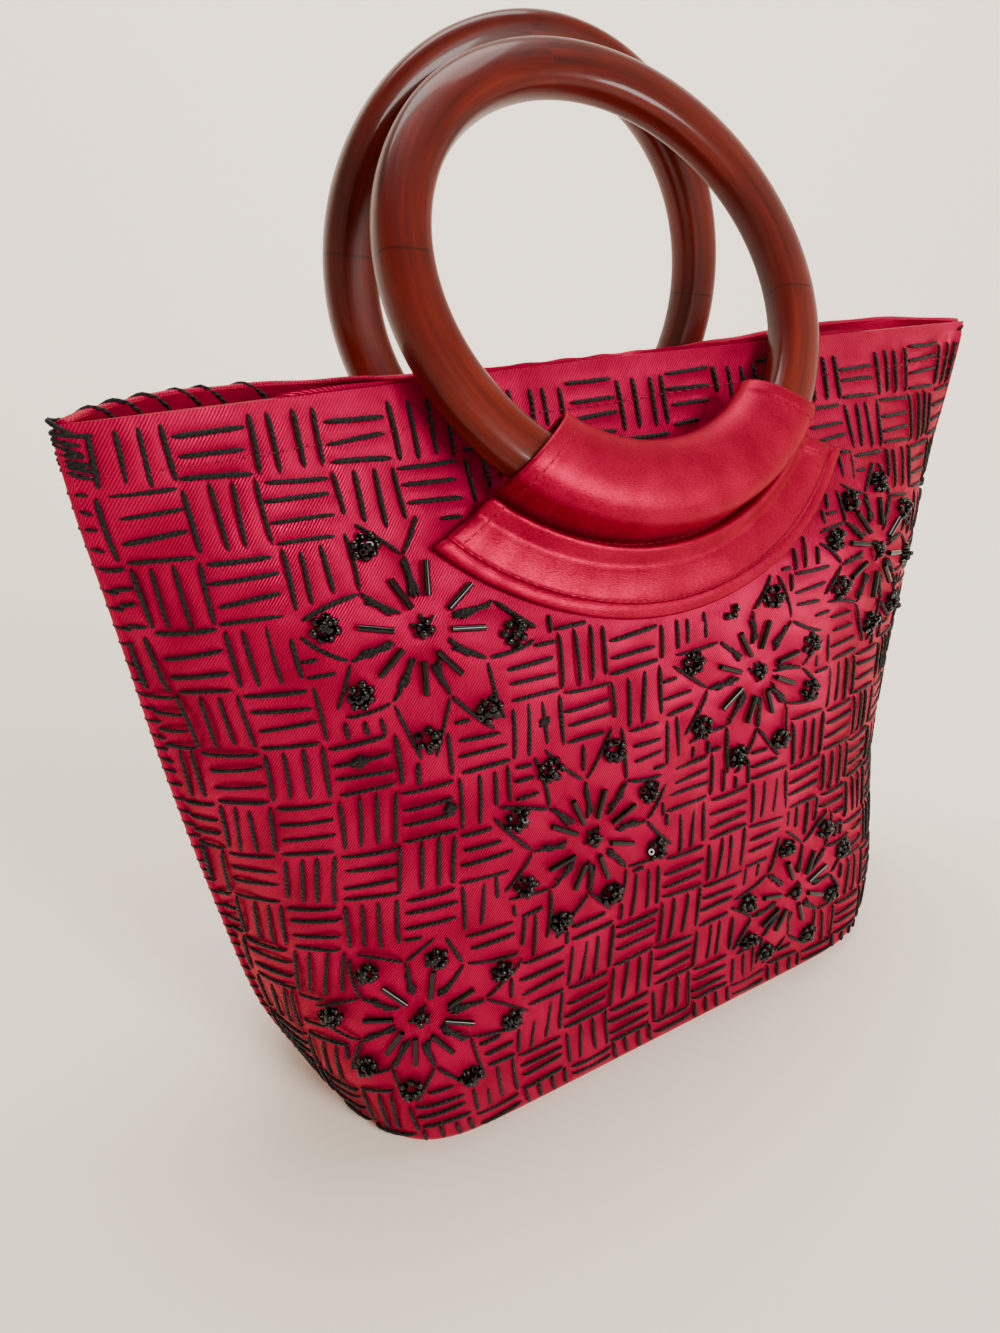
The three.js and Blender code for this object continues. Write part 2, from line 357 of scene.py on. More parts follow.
def twistedThread(name, dark, pale, roughness):
    # two-ply thread: slanting plies, each a little rounder than the groove between them; the colour is darker
    # in each groove, as painted shade
    material, tree, shader = newMaterial(name, {
        "Roughness": roughness, "Sheen Weight": 0.04, "Sheen Roughness": 0.5, "Specular IOR Level": 0.22,
    })
    flat = addNode(tree, "UVMap", {"uv_map": "flat"}).outputs[0]
    axes = addNode(tree, "SeparateXYZ", links={"Vector": flat})
    along = addNode(tree, "Math", {"operation": "MULTIPLY"}, {1: 1 / (thread["turnLength"] * mm)},
                    {0: axes.outputs["X"]})
    slant = addNode(tree, "Math", {"operation": "ADD"}, links={0: along.outputs[0], 1: axes.outputs["Y"]})
    turns = addNode(tree, "Math", {"operation": "MULTIPLY"}, {1: 4 * math.pi}, {0: slant.outputs[0]})
    wave = addNode(tree, "Math", {"operation": "SINE"}, links={0: turns.outputs[0]})
    level = addNode(tree, "MapRange", values={"From Min": -1}, links={"Value": wave.outputs[0]}).outputs[0]
    ramp = addNode(tree, "ValToRGB", links={"Fac": level})
    # the colour follows the relief: painted shade in the grooves, lighter on the plies' crests
    finishShader(tree, shader, setStops(ramp, [(0.05, dark), (0.75, pale)]), level, 0.8, 0.3)
    return material


def stainedWood():
    # beech ring stained mahogany under lacquer: red-brown with darker streaks along the grain
    material, tree, shader = newMaterial("mahoganyStainedWood", {
        "Roughness": 0.32, "Coat Weight": 0.16, "Coat Roughness": 0.07, "Specular IOR Level": 0.14,
    })
    flat = addNode(tree, "UVMap", {"uv_map": "flat"}).outputs[0]
    stretched = addNode(tree, "Mapping", values={"Scale": (12, 220, 1)}, links={"Vector": flat})
    streaks = addNode(tree, "TexNoise", values={"Scale": 1.6, "Detail": 5, "Roughness": 0.62},
                      links={"Vector": stretched.outputs[0]})
    place = addNode(tree, "TexCoord")
    patches = addNode(tree, "TexNoise", values={"Scale": 28, "Detail": 2},
                      links={"Vector": place.outputs["Object"]})
    both = addNode(tree, "Mix", values={"Factor": 0.42},
                   links={"A": streaks.outputs["Fac"], "B": patches.outputs["Fac"]})
    ramp = addNode(tree, "ValToRGB", links={"Fac": both.outputs["Result"]})
    stain = setStops(ramp, [(0.3, "#280504"), (0.5, "#4c0d07"), (0.7, "#671a0d")])
    # the ring is glued from two halves: a thin dark line where they meet
    axes = addNode(tree, "SeparateXYZ", links={"Vector": flat})
    turn = addNode(tree, "Math", {"operation": "MULTIPLY_ADD"}, {1: 1 / (ringMiddle * mm), 2: ring["joint"]},
                   {0: axes.outputs["X"]})
    halves = addNode(tree, "Math", {"operation": "SINE"}, links={0: turn.outputs[0]})
    apart = addNode(tree, "Math", {"operation": "ABSOLUTE"}, links={0: halves.outputs[0]})
    glued = addNode(tree, "MapRange", values={"From Min": 0.002, "From Max": 0.007, "To Min": 0.25},
                    links={"Value": apart.outputs[0]})
    jointed = addNode(tree, "Mix", {"data_type": "RGBA"}, {"A": linear("#1c0502")},
                      {"Factor": glued.outputs[0], "B": stain})
    finishShader(tree, shader, jointed.outputs["Result"], streaks.outputs["Fac"], 0.12)
    return material


# each look of a surface, and the part's slot that it stands for
materials = {
    # interfaced satin with a fine diagonal twill and painted shade between its ribs
    "satin": (satin(
        "crimsonTwillSatin", {"Roughness": 0.38, "Metallic": 0.55, "Sheen Roughness": 0.4},
        {"Scale": 55, "Detail": 3}, [(0.3, "#920034"), (0.7, "#b20045")], twillRibsAndShade, 0.4, 0.6,
    ), "satin"),
    # smooth satin of the casings and facings, with a softer shine and painted sheen along its floats
    "plainSatin": (satin(
        "crimsonPlainSatin", {"Roughness": 0.4, "Metallic": 0.6, "Sheen Roughness": 0.35},
        {"Scale": 90, "Detail": 4}, [(0.3, "#860029"), (0.72, "#a00036")], floatsAndSheen, 0.5, 0.45,
    ), "plain_satin"),
    "lining": (liningCloth(), "lining"),
    "thread": (twistedThread("blackTwistedThread", "#010102", "#0b090c", 0.65), "thread"),
    "sewing": (twistedThread("redSewingThread", "#74001f", "#a3002e", 0.55), "plain_satin"),
    "wood": (stainedWood(), "wood"),
    # opaque black glass of the beads: a sharp streak of light on each
    "glass": (newMaterial("blackBeadGlass", {
        "Base Color": linear("#020203"), "Roughness": 0.06, "Specular IOR Level": 0.3,
    })[0], "beads"),
}
print("materials made")


def addPiece(mesh, look, smooth, body="bag"):
    material, slot = materials[look]
    piece = bpy.data.objects.new(mesh.name, mesh)
    bpy.context.scene.collection.objects.link(piece)
    mesh.materials.append(material)
    mesh.shade_smooth()
    mesh.set_sharp_from_angle(angle=math.radians(smooth))
    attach(piece, body)
    return piece


def meshFrom(bm, name, gap=None):
    # the mesh of an edited shape; points closer than the gap are merged, which closes seams and poles
    if gap:
        bmesh.ops.remove_doubles(bm, verts=bm.verts, dist=gap)
        bmesh.ops.recalc_face_normals(bm, faces=bm.faces)
    mesh = bpy.data.meshes.new(name)
    bm.to_mesh(mesh)
    bm.free()
    return mesh


def vertexArray(mesh):
    points = np.empty(len(mesh.vertices) * 3)
    mesh.vertices.foreach_get("co", points)
    return points.reshape(-1, 3)


def setVertices(mesh, points):
    mesh.vertices.foreach_set("co", np.ascontiguousarray(points, dtype=float).ravel())
    mesh.update()


def gridMesh(name, columns, rows):
    # a flat grid, and its points as shares of its width and depth
    bm = bmesh.new()
    bmesh.ops.create_grid(bm, x_segments=columns, y_segments=rows, size=0.5)
    mesh = meshFrom(bm, name)
    return mesh, vertexArray(mesh) + np.array([0.5, 0.5, 0])


def faceOut(mesh):
    # turns a closed mesh so that its faces point outwards
    bm = bmesh.new()
    bm.from_mesh(mesh)
    if bm.calc_volume(signed=True) < 0:
        bmesh.ops.reverse_faces(bm, faces=bm.faces)
    bm.to_mesh(mesh)
    bm.free()


def setFlatUv(mesh, across, down):
    layer = mesh.uv_layers.get("flat") or mesh.uv_layers.new(name="flat")
    corners = np.empty(len(mesh.loops), int)
    mesh.loops.foreach_get("vertex_index", corners)
    layer.data.foreach_set("uv", np.stack([across[corners], down[corners]], -1).astype(float).ravel())


def addSheet(name, columns, rows, look, place):
    # a closed sheet: place turns share across, share up and layer, 0 outer or 1 inner, into points
    # and flat places
    bm = bmesh.new()
    grid = bmesh.ops.create_grid(bm, x_segments=columns, y_segments=rows, size=0.5)
    bmesh.ops.translate(bm, verts=grid["verts"], vec=(0.5, 0.5, 0))
    copy = bmesh.ops.duplicate(bm, geom=bm.verts[:] + bm.edges[:] + bm.faces[:])["geom"]
    inner = [part for part in copy if isinstance(part, bmesh.types.BMVert)]
    bmesh.ops.translate(bm, verts=inner, vec=(0, 0, 1))
    bmesh.ops.reverse_faces(bm, faces=[part for part in copy if isinstance(part, bmesh.types.BMFace)])
    bmesh.ops.bridge_loops(bm, edges=[edge for edge in bm.edges if edge.is_boundary])
    mesh = meshFrom(bm, name)
    points, across, down = place(*vertexArray(mesh).T)
    setVertices(mesh, points)
    setFlatUv(mesh, across, down)
    faceOut(mesh)
    return addPiece(mesh, look, 60)


# Stitching, in millimetres on the flat cloth; places in a cell are shares of it
weave = {
    "cell": 17.4,
    "firstColumn": 5,
    "columns": 18,
    "rowPitch": 17.35,
    "firstRow": -1.5,
    "rows": 14,
    "perCell": 4,
    "first": 0.06,
    "spacing": 0.293,
    "begin": 0.01,
    "finish": 0.99,
    "radius": 0.63,
    "sideMargin": 1.2,
    "baseMargin": 1.5,
    "samples": 25,
    "fewest": 7,
}
hem = {"left": 1.5, "middle": 5, "right": 6}  # how far below the mouth the weave starts


def easeIn(value):
    value = np.clip(value, 0, 1)
    return value * value * (3 - 2 * value)


def weavePoint(columnPlace, rowPlace):
    # hand-drawn grid: rows start lower towards the right, columns bow near the left seam
    across = weave["firstColumn"] + weave["cell"] * columnPlace
    down = weave["firstRow"] + weave["rowPitch"] * rowPlace
    down = down + 6 * easeIn(across / 130) * np.clip(1 - rowPlace / 10, 0, 1)
    bow = 6.5 * np.exp(-((down - 95) / 42) ** 2) * np.clip(1.6 - across / 80, 0, 1)
    return across + bow, down


# Flowers on the front: middle on the flat cloth and each petal's angle and bead reach
flowers = [{"across": row[0], "down": row[1], "petals": row[2:]} for row in (
    (74.5, 61.5, (118, 26), (82, 22), (30, 25), (-16, 25), (-60, 29), (-94, 29), (-144, 22), (167, 25)),
    (181, 99.5, (117, 25), (75, 23), (10, 23), (-28, 26), (-69, 28), (-107, 28), (-152, 26), (161, 27)),
    (118, 136.5, (115, 30), (73, 28), (24, 22), (-28, 26), (-75, 23), (-116, 28), (-161, 24), (148, 28)),
    (239, 71, (127, 22), (82, 22), (30, 22), (-12, 25), (-52, 27), (-95, 25), (-157, 23), (165, 24)),
    (206.5, 192, (111, 23), (62, 25), (22, 26), (-22, 22), (-67, 25), (-116, 25), (-147, 24), (168, 24)),
    (62, 179.5, (130, 23), (75, 20), (18, 26), (-22, 30), (-61, 30), (-99, 25), (-137, 23), (176, 27)),
)]
tiedOff = [(105, 95), (54, 93), (76, 113)]  # where a thread was tied off on top
flower = {
    "valley": 20.5,
    "tip": 8.5,
    "clear": 1.2,
    "leafStart": 8,
    "leafEnd": 17,
    "wideGap": 70,
    "bugleStart": 6.8,
    "bugleLength": 9,
    "bugleRadius": 0.88,
    "bugleLift": 1.15,
    "around": (6, 7, 7),
    "out": (2.3, 3.2),
    "onTop": (3, 4),
    "seedLift": 1.2,
    "topLift": 2.1,
}


def petalPairs(blossom):
    # each petal's angle and reach with those of the next one round
    ordered = sorted((a % 360, r) for a, r in blossom["petals"])
    first = (ordered[0][0] + 360, ordered[0][1])
    return zip(ordered, ordered[1:] + [first])


def petalOutline(blossom, angle):
    # the reach of a flower's pointed outline at an angle
    angles, reaches = [], []
    for (a, r), (following, _) in petalPairs(blossom):
        angles += [a, (a + following) / 2]
        reaches += [r + flower["tip"], flower["valley"]]
    return np.interp(np.asarray(angle) % 360, angles, reaches, period=360)


def insideFlower(across, down, margin):
    inside = np.zeros(np.shape(across), bool)
    for blossom in flowers:
        dx, dy = across - blossom["across"], blossom["down"] - down
        inside |= np.hypot(dx, dy) < petalOutline(blossom, np.degrees(np.arctan2(dy, dx))) + margin
    return inside


def allowedStitch(side, across, down):
    cloth = flatCloth[side]
    ends = np.interp(down * mm, np.arange(len(cloth["ends"])) * mm, cloth["ends"]) / mm
    last = np.interp(across, np.arange(cloth["down"].shape[1]), cloth["down"][-1]) / mm - weave["baseMargin"]
    start = np.interp(across, [0, 40, 130, 300], [hem["left"], hem["left"], hem["middle"], hem["right"]])
    margin = weave["sideMargin"]
    fine = (across > margin) & (across < ends - margin) & (down > start) & (down < last)
    fine &= ~underCasing(side, onCloth(side, across, down)[0])
    if side == front:
        fine &= ~insideFlower(across, down, flower["clear"])
    return fine


stationShares = np.linspace(0, 1, thread["stations"])


def weaveStitches(side):
    # each cell has four parallel stitches, upright and level by turns
    stitches = []
    cells = [(row, place) for row in range(weave["rows"]) for place in range(-1, weave["columns"])]
    order = np.arange(weave["samples"])
    for row, place in cells:
        upright = (row + place) % 2 == 0
        for k in range(weave["perCell"]):
            aside = weave["first"] + k * weave["spacing"] + random.gauss(0, 0.022)
            lean = random.gauss(0, 0.035)
            begin = weave["begin"] + random.gauss(0, 0.025)
            finish = weave["finish"] + random.gauss(0, 0.025)
            shares = np.linspace(begin, finish, weave["samples"])
            aside = aside + lean * (shares - 0.5) + 0.012 * np.sin(shares * 3 + k)
            inCell = (aside, shares) if upright else (shares, aside)
            across, down = weavePoint(place + inCell[0], row + inCell[1])
            runs = np.flatnonzero(allowedStitch(side, across, down))
            longest = max(np.split(runs, np.flatnonzero(np.diff(runs) > 1) + 1), key=len)
            if len(longest) < weave["fewest"]:
                continue
            pick = np.linspace(longest[0], longest[-1], thread["stations"])
            stitches.append(resample(pick, order, np.stack([across, down], -1)))
    return np.array(stitches)


def polar(blossom, angle, reach):
    turn = math.radians(angle)
    return blossom["across"] + reach * math.cos(turn), blossom["down"] - reach * math.sin(turn)


def flowerStitches():
    # between the petals a crossed leaf, then a stem that forks round the beads to the petals' tips
    stitches = []

    def sew(start, end, wobble=0.4):
        points = np.linspace(start, end, thread["stations"])
        along = np.subtract(end, start)
        aside = np.array([-along[1], along[0]]) / max(np.hypot(*along), 1e-6)
        bow = np.sin(stationShares * math.pi)[:, None] * aside
        stitches.append(points + bow * random.uniform(-wobble, wobble))

    for blossom in flowers:
        for (angle, reach), (following, nextReach) in petalPairs(blossom):
            middle = (angle + following) / 2
            for turn in (-1, 0, 1):
                start = polar(blossom, middle + turn * random.uniform(5, 9),
                              flower["leafStart"] + random.uniform(-1, 2))
                end = polar(blossom, middle - turn * random.uniform(1, 4),
                            flower["leafEnd"] + random.uniform(-2, 2))
                sew(start, end)
            fork = polar(blossom, middle + random.uniform(-2, 2), flower["valley"] - 1)
            sew(polar(blossom, middle, flower["leafEnd"] - 3), fork)
            for towards, tip, turn in ((angle, reach, 1), (following, nextReach, -1)):
                peak = polar(blossom, towards + turn * 2.5, tip + flower["tip"] - 1.5)
                if following - angle < flower["wideGap"]:
                    sew(fork, peak, 0.8)
                else:  # a wide gap takes two stitches
                    half = (tip + flower["tip"] + flower["valley"]) / 2 + 1
                    bend = polar(blossom, (towards + middle) / 2, half)
                    sew(fork, bend)
                    sew(bend, peak)
        for _ in range(3):
            angle = random.uniform(0, 360)
            sew(polar(blossom, angle, 4.2), polar(blossom, angle + 160, 3.2))
    for across, down in tiedOff:
        for _ in range(7):
            angle = random.uniform(0, math.pi)
            reach = random.uniform(1.2, 2.4)
            x, y = reach * math.cos(angle), reach * math.sin(angle)
            sew((across - x, down - y), (across + x, down + y))
    laid = np.array(stitches)
    place = onCloth(front, laid[..., 0], laid[..., 1])[0]
    return laid[~underCasing(front, place).any(1) & (laid[..., 1] > 3).all(1)]


def threadPattern():
    # one stitch: a grid rolled into a closed tube, with its length along X and its ends drawn to points
    bm = bmesh.new()
    bm.loops.layers.uv.new("flat")
    bmesh.ops.create_grid(bm, x_segments=thread["stations"] - 1, y_segments=thread["sides"], size=0.5,
                          calc_uvs=True)
    for vertex in bm.verts:
        share, around = vertex.co.x + 0.5, (vertex.co.y + 0.5) * 2 * math.pi
        width = math.sqrt(max(0, 1 - abs(2 * share - 1) ** 6))
        vertex.co = (share, width * math.cos(around), width * math.sin(around))
    return meshFrom(bm, "threadPattern", 1e-5)


threadShape = threadPattern()


def copyPattern(name, pattern, count):
    bm = bmesh.new()
    for _ in range(count):
        bm.from_mesh(pattern)
    return meshFrom(bm, name)


def makeThreads(name, paths, ups, radius, flatness=0.85):
    # lays one thread along each path: paths and ups are stitches x stations x 3, in metres
    count = len(paths)
    mesh = copyPattern(name, threadShape, count)
    shape = vertexArray(threadShape)
    station = np.rint(shape[:, 0] * (thread["stations"] - 1)).astype(int)
    along = unit(np.gradient(paths, axis=1))
    aside = unit(np.cross(ups, along))
    above = np.cross(along, aside)
    lengths = np.linalg.norm(np.diff(paths, axis=1), axis=2).sum(1)
    radii = np.broadcast_to(np.asarray(radius, float) * mm, (count,))
    ply = np.arctan2(shape[:, 2], shape[:, 1])
    twist = 2 * ply - lengths[:, None] * shape[:, 0] / (thread["turnLength"] * mm) * 2 * math.pi
    size = radii[:, None] * (1 + thread["plyDepth"] * np.cos(twist))
    points = paths[:, station] + aside[:, station] * (shape[:, 1] * size)[..., None]
    points = points + above[:, station] * (shape[:, 2] * size * flatness)[..., None]
    setVertices(mesh, points.reshape(-1, 3))
    layer = mesh.uv_layers["flat"]
    uv = np.empty(len(mesh.loops) * 2)
    layer.data.foreach_get("uv", uv)
    uv = uv.reshape(count, -1, 2)
    uv[..., 0] *= lengths[:, None]
    layer.data.foreach_set("uv", uv.ravel())
    return mesh


def layStitches(name, side, stitches, radius, high=0.42, low=-0.75):
    # stitches dive into the cloth at both ends
    rise = low + (high - low) * (1 - np.abs(2 * stationShares - 1) ** 8)
    lift = np.broadcast_to(rise, stitches.shape[:2])
    paths, ups = onCloth(side, stitches[..., 0], stitches[..., 1], lift)
    return makeThreads(name, paths, ups, radius)


# Half millimetre grid of the flat cloth, with how far round a stitch it is pressed and by how much
press = {"perMillimetre": 2, "rows": 480, "places": 640, "reach": 8, "spread": 0.8, "depth": 0.5}


def pressField(stitches):
    # how far each stitch presses the cloth down, as a share of the full depth
    field = np.zeros((press["rows"], press["places"]))
    offsets = np.arange(-press["reach"], press["reach"] + 1)
    scale = press["perMillimetre"]
    for across, down in stitches.reshape(-1, 2):
        rows = np.clip(int(round(down * scale)) + offsets, 0, press["rows"] - 1)
        places = np.clip(int(round(across * scale)) + offsets, 0, press["places"] - 1)
        near = (rows[:, None] / scale - down) ** 2 + (places / scale - across) ** 2
        block = np.ix_(rows, places)
        field[block] = np.maximum(field[block], np.exp(-near / 2 / press["spread"] ** 2))
    return field


stitchLines = {side: weaveStitches(side) for side in sides}
flowerLines = flowerStitches()
pressed = {
    front: pressField(np.concatenate([stitchLines[front], flowerLines])),
    back: pressField(stitchLines[back]),
}
print("stitches planned", len(stitchLines[front]), len(flowerLines), len(stitchLines[back]))


def clothWave(across, down):
    # slow unevenness of soft cloth
    return (0.5 * np.sin(across / 12 + 1.7 * np.sin(down / 31)) * np.sin(down / 17 + across / 41)
            + 0.25 * np.sin(across / 5.3 - down / 8.7 + 1.3 * np.sin(down / 19))
            + 0.16 * np.sin(across / 3.1 + down / 4.3 + 2 * np.sin(across / 23)))


def panelSheet(side):
    which = handles[side]["name"]

    def place(share, up, layer):
        turn, outer = share * 2 - 1, layer < 0.5
        points = np.where(outer[:, None], panelPoints(side, turn, up),
                          panelPoints(side, turn, up, bag["wall"]))
        flat = np.array(flatOf(side, turn, up))
        across, down = flat / mm
        normal = onCloth(side, across, down)[1]
        scale = press["perMillimetre"]
        pressure = readTable(pressed[side], down * scale, across * scale)
        # the edges and the cloth under the ring and its casing stay calm
        border = easeIn(np.minimum.reduce([
            across / 6, down / 4, up * bag["height"] / 6, (1 - np.abs(turn)) * 40,
        ]))
        calm = np.where(fromRing(side, points)[0] < edgeRadius + 3.5, 0.25, 1)
        lift = (0.12 - press["depth"] * pressure + clothWave(across, down) * calm) * border
        return points + normal * (lift * outer)[:, None] * mm, *flat

    piece = addSheet(which + "Panel", 220, 176, "satin", place)
    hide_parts(which + "_panel")
    return piece


def innerSheet(side, kind, inset, thickness, low, high, look, rows):
    which = handles[side]["name"]

    def place(share, up, layer):
        turn, height = share * 2 - 1, low + (high - low) * up
        points = np.where(layer[:, None] < 0.5, panelPoints(side, turn, height, inset),
                          panelPoints(side, turn, height, inset + thickness))
        return points, *flatOf(side, turn, height)

    piece = addSheet(which + kind, 120, rows, look, place)
    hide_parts(which + "_" + kind.lower())
    return piece


def baseSheet():
    def place(share, up, layer):
        turn = share * 2 - 1
        low, high = (panelPoints(side, turn, 0 * turn, bag["wall"] + bag["seamGap"]) for side in sides)
        points = low + (high - low) * up[:, None]
        points[:, 2] = layer * bag["baseThickness"] * mm
        return points, points[:, 0], points[:, 1]

    piece = addSheet("baseCloth", 90, 36, "satin", place)
    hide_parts("base_panel")
    return piece


panels = {side: panelSheet(side) for side in sides}
hemHeight = 1 - bag["facingHeight"] / bag["height"]
underHem = hemHeight - bag["seamGap"] / bag["height"]
inset = bag["wall"] + 0.4
facings = {side: innerSheet(side, "Facing", inset, 0.9, hemHeight, 1, "plainSatin", 14) for side in sides}
linings = {side: innerSheet(side, "Lining", inset, 0.8, 0.012, underHem, "lining", 60) for side in sides}
base = baseSheet()
print("sheets made")


def stitchPieces():
    for side in sides:
        name = handles[side]["name"] + "WeaveStitches"
        radii = [weave["radius"] * random.uniform(0.88, 1.1) for _ in stitchLines[side]]
        addPiece(layStitches(name, side, stitchLines[side], radii), "thread", 80)
    radii = [weave["radius"] * random.uniform(0.8, 1.05) for _ in flowerLines]
    addPiece(layStitches("flowerStitches", front, flowerLines, radii, 0.5), "thread", 80)


stitchPieces()
print("stitches laid")


def seedPattern():
    # a seed bead: a small round section turned about its hole
    bm = bmesh.new()
    circle = bmesh.ops.create_circle(bm, segments=7, radius=0.5)
    bmesh.ops.scale(bm, verts=circle["verts"], vec=(1.1, 1.8, 1))
    bmesh.ops.rotate(bm, verts=circle["verts"], cent=(0, 0, 0), matrix=Matrix.Rotation(math.pi / 2, 3, "X"))
    bmesh.ops.translate(bm, verts=circle["verts"], vec=(0.76, 0, 0))
    bmesh.ops.spin(bm, geom=bm.verts[:] + bm.edges[:], cent=(0, 0, 0), axis=(0, 0, 1), angle=2 * math.pi,
                   steps=9, use_merge=True)
    return meshFrom(bm, "seedPattern", 1e-4)


def buglePattern():
    # a bugle bead: a straight glass tube with a hole at each end
    bm = bmesh.new()
    bmesh.ops.create_cone(bm, cap_ends=True, segments=12, radius1=flower["bugleRadius"],
                          radius2=flower["bugleRadius"], depth=flower["bugleLength"])
    ends = [face for face in bm.faces if len(face.verts) > 4]
    bmesh.ops.inset_region(bm, faces=ends, thickness=0.3)
    for face in bmesh.ops.extrude_discrete_faces(bm, faces=ends)["faces"]:
        bmesh.ops.translate(bm, verts=face.verts, vec=-face.normal * 1.2)
    bmesh.ops.rotate(bm, verts=bm.verts, cent=(0, 0, 0), matrix=Matrix.Rotation(math.pi / 2, 3, "Y"))
    return meshFrom(bm, "buglePattern")


def placeBeads(name, pattern, spots):
    # spots hold across, down, lift in millimetres and the bead's turn as a 3 x 3 matrix
    mesh = copyPattern(name, pattern, len(spots))
    shape = vertexArray(pattern) * mm
    across, down, lift = np.array([spot[:3] for spot in spots]).T
    middles, normals = onCloth(front, across, down, lift)
    beside = onCloth(front, across + 1, down)[0] - onCloth(front, across, down)[0]
    beside = unit(beside - normals * (beside * normals).sum(1, keepdims=True))
    upward = np.cross(normals, beside)
    axes = np.stack([beside, upward, normals], 1)
    local = np.einsum("nij,vj->nvi", np.array([spot[3] for spot in spots]), shape)
    points = middles[:, None] + np.einsum("nvi,nij->nvj", local, axes)
    setVertices(mesh, points.reshape(-1, 3))
    addPiece(mesh, "glass", 50)


def turned(first, axis, second):
    # turned by the second angle about an axis, then by the first about Z
    return Matrix.Rotation(first, 3, "Z") @ Matrix.Rotation(second, 3, axis)


def beadSpots():
    seeds, bugles = [], []

    def addSeed(spot, aside, fall, lift):
        turn = turned(random.uniform(0, 6.28), "X", random.uniform(0.5, 2.6))
        seeds.append((spot[0] + aside, spot[1] + fall, lift, turn))

    for blossom in flowers:
        for angle, reach in blossom["petals"]:
            heart = polar(blossom, angle, reach)
            count = random.choice(flower["around"])
            start = random.uniform(0, 6.28)
            for k in range(count):  # a ring of beads, then three or four on top
                turn = start + k * 2 * math.pi / count
                out = random.uniform(*flower["out"])
                addSeed(heart, out * math.cos(turn), out * math.sin(turn), flower["seedLift"])
            for k in range(random.choice(flower["onTop"])):
                aside = random.uniform(-1.6, 1.6)
                addSeed(heart, aside, random.uniform(-1.6, 1.6), flower["topLift"] + 0.3 * k)
            lean = angle + random.uniform(-6, 6)
            middle = polar(blossom, angle + random.uniform(-3, 3),
                           flower["bugleStart"] + flower["bugleLength"] / 2 + random.uniform(-0.6, 1.4))
            turn = turned(math.radians(lean), "Y", random.uniform(-0.06, 0.06))
            bugles.append((*middle, flower["bugleLift"], turn))
        for k in range(4):  # the flower's heart
            turn = k * 1.6 + random.uniform(0, 0.5)
            addSeed((blossom["across"], blossom["down"]), 1.5 * math.cos(turn), 1.5 * math.sin(turn),
                    1.5 + 0.3 * (k % 2))

    def shown(spots):
        places = onCloth(front, *np.array([spot[:2] for spot in spots]).T)[0]
        return [spot for spot, hidden in zip(spots, underCasing(front, places, 4)) if not hidden]

    return shown(seeds), shown(bugles)


seedSpots, bugleSpots = beadSpots()
placeBeads("seedBeads", seedPattern(), seedSpots)
placeBeads("bugleBeads", buglePattern(), bugleSpots)
print("beads sewn on", len(seedSpots), len(bugleSpots))


def placeByRing(mesh, side, local):
    # moves a ring's or casing's mesh from the ring's own axes, in millimetres, to the bag's frame
    matrix = np.array(handleMatrix(side))
    setVertices(mesh, local * mm @ matrix[:3, :3].T + matrix[:3, 3])


def boxy(angle, power):
    # a point of a rounded box of half size 1: the higher the power, the squarer it is
    c, s = math.cos(angle), math.sin(angle)
    return [math.copysign(abs(value) ** (2 / power), value) for value in (c, s)]


def ringPiece(side):
    handle = handles[side]
    bm = bmesh.new()
    section = bmesh.ops.create_circle(bm, segments=ring["sides"], radius=1)["verts"]
    for vertex in section:
        along, across = boxy(math.atan2(vertex.co.y, vertex.co.x), ring["power"])
        vertex.co = (ringMiddle + along * ring["width"] / 2, across * ring["thickness"] / 2, 0)
    bmesh.ops.spin(bm, geom=bm.verts[:] + bm.edges[:], cent=(0, 0, 0), axis=(0, 1, 0), angle=2 * math.pi,
                   steps=ring["steps"], use_merge=True)
    mesh = meshFrom(bm, handle["name"] + "Ring", 1e-3)
    local = vertexArray(mesh)
    angle = np.arctan2(local[:, 0], -local[:, 2])
    around = np.arctan2(local[:, 1], np.hypot(local[:, 0], local[:, 2]) - ringMiddle)
    placeByRing(mesh, side, local)
    setRingUv(mesh, angle * ringMiddle * mm, around * ring["girthRadius"] * mm)
    faceOut(mesh)
    piece = addPiece(mesh, "wood", 60, handle["name"] + "_handle")
    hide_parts(handle["name"] + "_ring")
    return piece


def setRingUv(mesh, along, around):
    # unrolls a ring: a face that crosses the seam of either angle takes one side's values
    layer = mesh.uv_layers.new(name="flat")
    full = 2 * math.pi * mm * np.array([ringMiddle, ring["girthRadius"]])
    flat = np.stack([along, around], -1)
    for face in mesh.polygons:
        corners = flat[list(face.vertices)]
        wraps = np.ptp(corners, axis=0) > full / 2
        for i, corner in zip(face.loop_indices, corners + full * (wraps & (corners < 0))):
            layer.data[i].uv = corner


rings = {side: ringPiece(side) for side in sides}
print("rings turned")


def smoothCurve(knots, samples):
    # a smooth line through the knots, evenly sampled by knot
    knots = np.array(knots, float)
    padded = np.concatenate([[2 * knots[0] - knots[1]], knots, [2 * knots[-1] - knots[-2]]])
    spots = np.linspace(0, len(knots) - 1.0001, samples)
    k = spots.astype(int)
    u = (spots - k)[:, None]
    a, b, c, d = (padded[k + i] for i in range(4))
    square, cube = 2 * a - 5 * b + 4 * c - d, 3 * b - a - 3 * c + d
    return 0.5 * (2 * b + (c - a) * u + square * u ** 2 + cube * u ** 3)


def rayTree(mesh):
    bm = bmesh.new()
    bm.from_mesh(mesh)
    tree = BVHTree.FromBMesh(bm)
    bm.free()
    return tree


# Rays start this far out from the ring's plane, at each millimetre and degree of these ranges
seat = {"start": 60, "radii": (40, 98), "halfAngle": 62}


def castIn(tree, side, radius, angle):
    # looks in along the ring's axis, from a radius in millimetres and an angle in degrees
    matrix, turn = handleMatrix(side), math.radians(angle)
    start = matrix @ (Vector((radius * math.sin(turn), side * seat["start"], -radius * math.cos(turn))) * mm)
    inward = -(matrix.to_3x3() @ Vector((0, side, 0))).normalized()
    return tree.ray_cast(start, inward), inward


